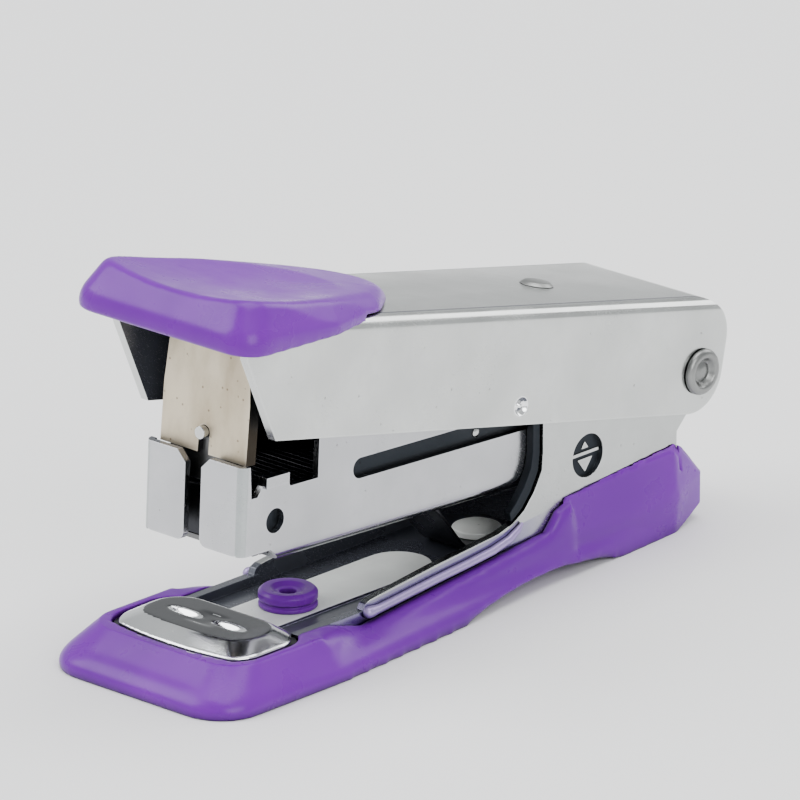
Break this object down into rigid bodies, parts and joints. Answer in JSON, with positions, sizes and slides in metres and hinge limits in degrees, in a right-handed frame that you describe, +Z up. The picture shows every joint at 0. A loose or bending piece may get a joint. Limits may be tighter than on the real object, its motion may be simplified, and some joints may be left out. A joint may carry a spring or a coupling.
{
  "type": "pocket stapler",
  "caption": "Pocket stapler with a purple plastic base and front cap, plated sheet frame, magazine and lifting handle on one rear rivet, and a dished anvil.",
  "frame": {"origin": "middle of the bounding box, on the ground", "axes": "-Y towards the front, +X the right side, +Z up; the pivot axis runs along X at the rear"},
  "size_m": [0.0216, 0.0652, 0.0347],
  "materials": {
    "purple_plastic": "gloss",
    "bright_plating": "bright plated, slightly drawn",
    "plain_steel": "satin",
    "rivet_steel": "satin",
    "spring_steel": "satin",
    "dark_steel": "satin",
    "staple_wire": "bright wire",
    "warm_steel": "satin, warm tint"
  },
  "bodies": {
    "base": {"base_cover": "purple_plastic", "cover_stud": "purple_plastic", "base_bracket": "bright_plating", "anvil_seat": "dark_steel", "anvil_plate": "bright_plating", "return_spring": "spring_steel", "spring_rivet": "rivet_steel", "pivot_pin": "rivet_steel", "pivot_spacer": "plain_steel"},
    "magazine_unit": {"magazine": "bright_plating", "magazine_bridge": "plain_steel", "staple_core": "plain_steel", "core_nose": "dark_steel", "rear_stop": "plain_steel", "follower_rod": "plain_steel", "rod_nut": "rivet_steel", "staple_strip": "staple_wire"},
    "follower_unit": {"follower": "dark_steel", "follower_spring": "plain_steel"},
    "handle_unit": {"handle": "bright_plating", "handle_cap": "purple_plastic", "cap_clip": "dark_steel", "driver_plate": "warm_steel", "driver_blade": "plain_steel", "driver_stud": "bright_plating", "driver_rivets": "rivet_steel", "handle_spring": "spring_steel", "handle_spring_rivet": "rivet_steel"}
  },
  "joints": [
    {"name": "magazine_pivot", "type": "hinge", "parent": "base", "child": "magazine_unit", "pos_m": [0, 0.0292, 0.01415], "axis": [1, 0, 0], "range_deg": [0, 5.8], "stiffness_Nm_per_rad": 0.6, "springref_deg": -4.58, "deforming": ["return_spring"]},
    {"name": "handle_pivot", "type": "hinge", "parent": "magazine_unit", "child": "handle_unit", "pos_m": [0, 0.0292, 0.01415], "axis": [1, 0, 0], "range_deg": [-75, 6.2], "stiffness_Nm_per_rad": 0.4, "deforming": ["handle_spring"]},
    {"name": "follower_slide", "type": "slide", "parent": "magazine_unit", "child": "follower_unit", "axis": [0, 0.9986, -0.0523], "range_m": [0, 0.013], "stiffness_N_per_m": 60, "springref_m": -0.01, "deforming": ["follower_spring"]}
  ]
}
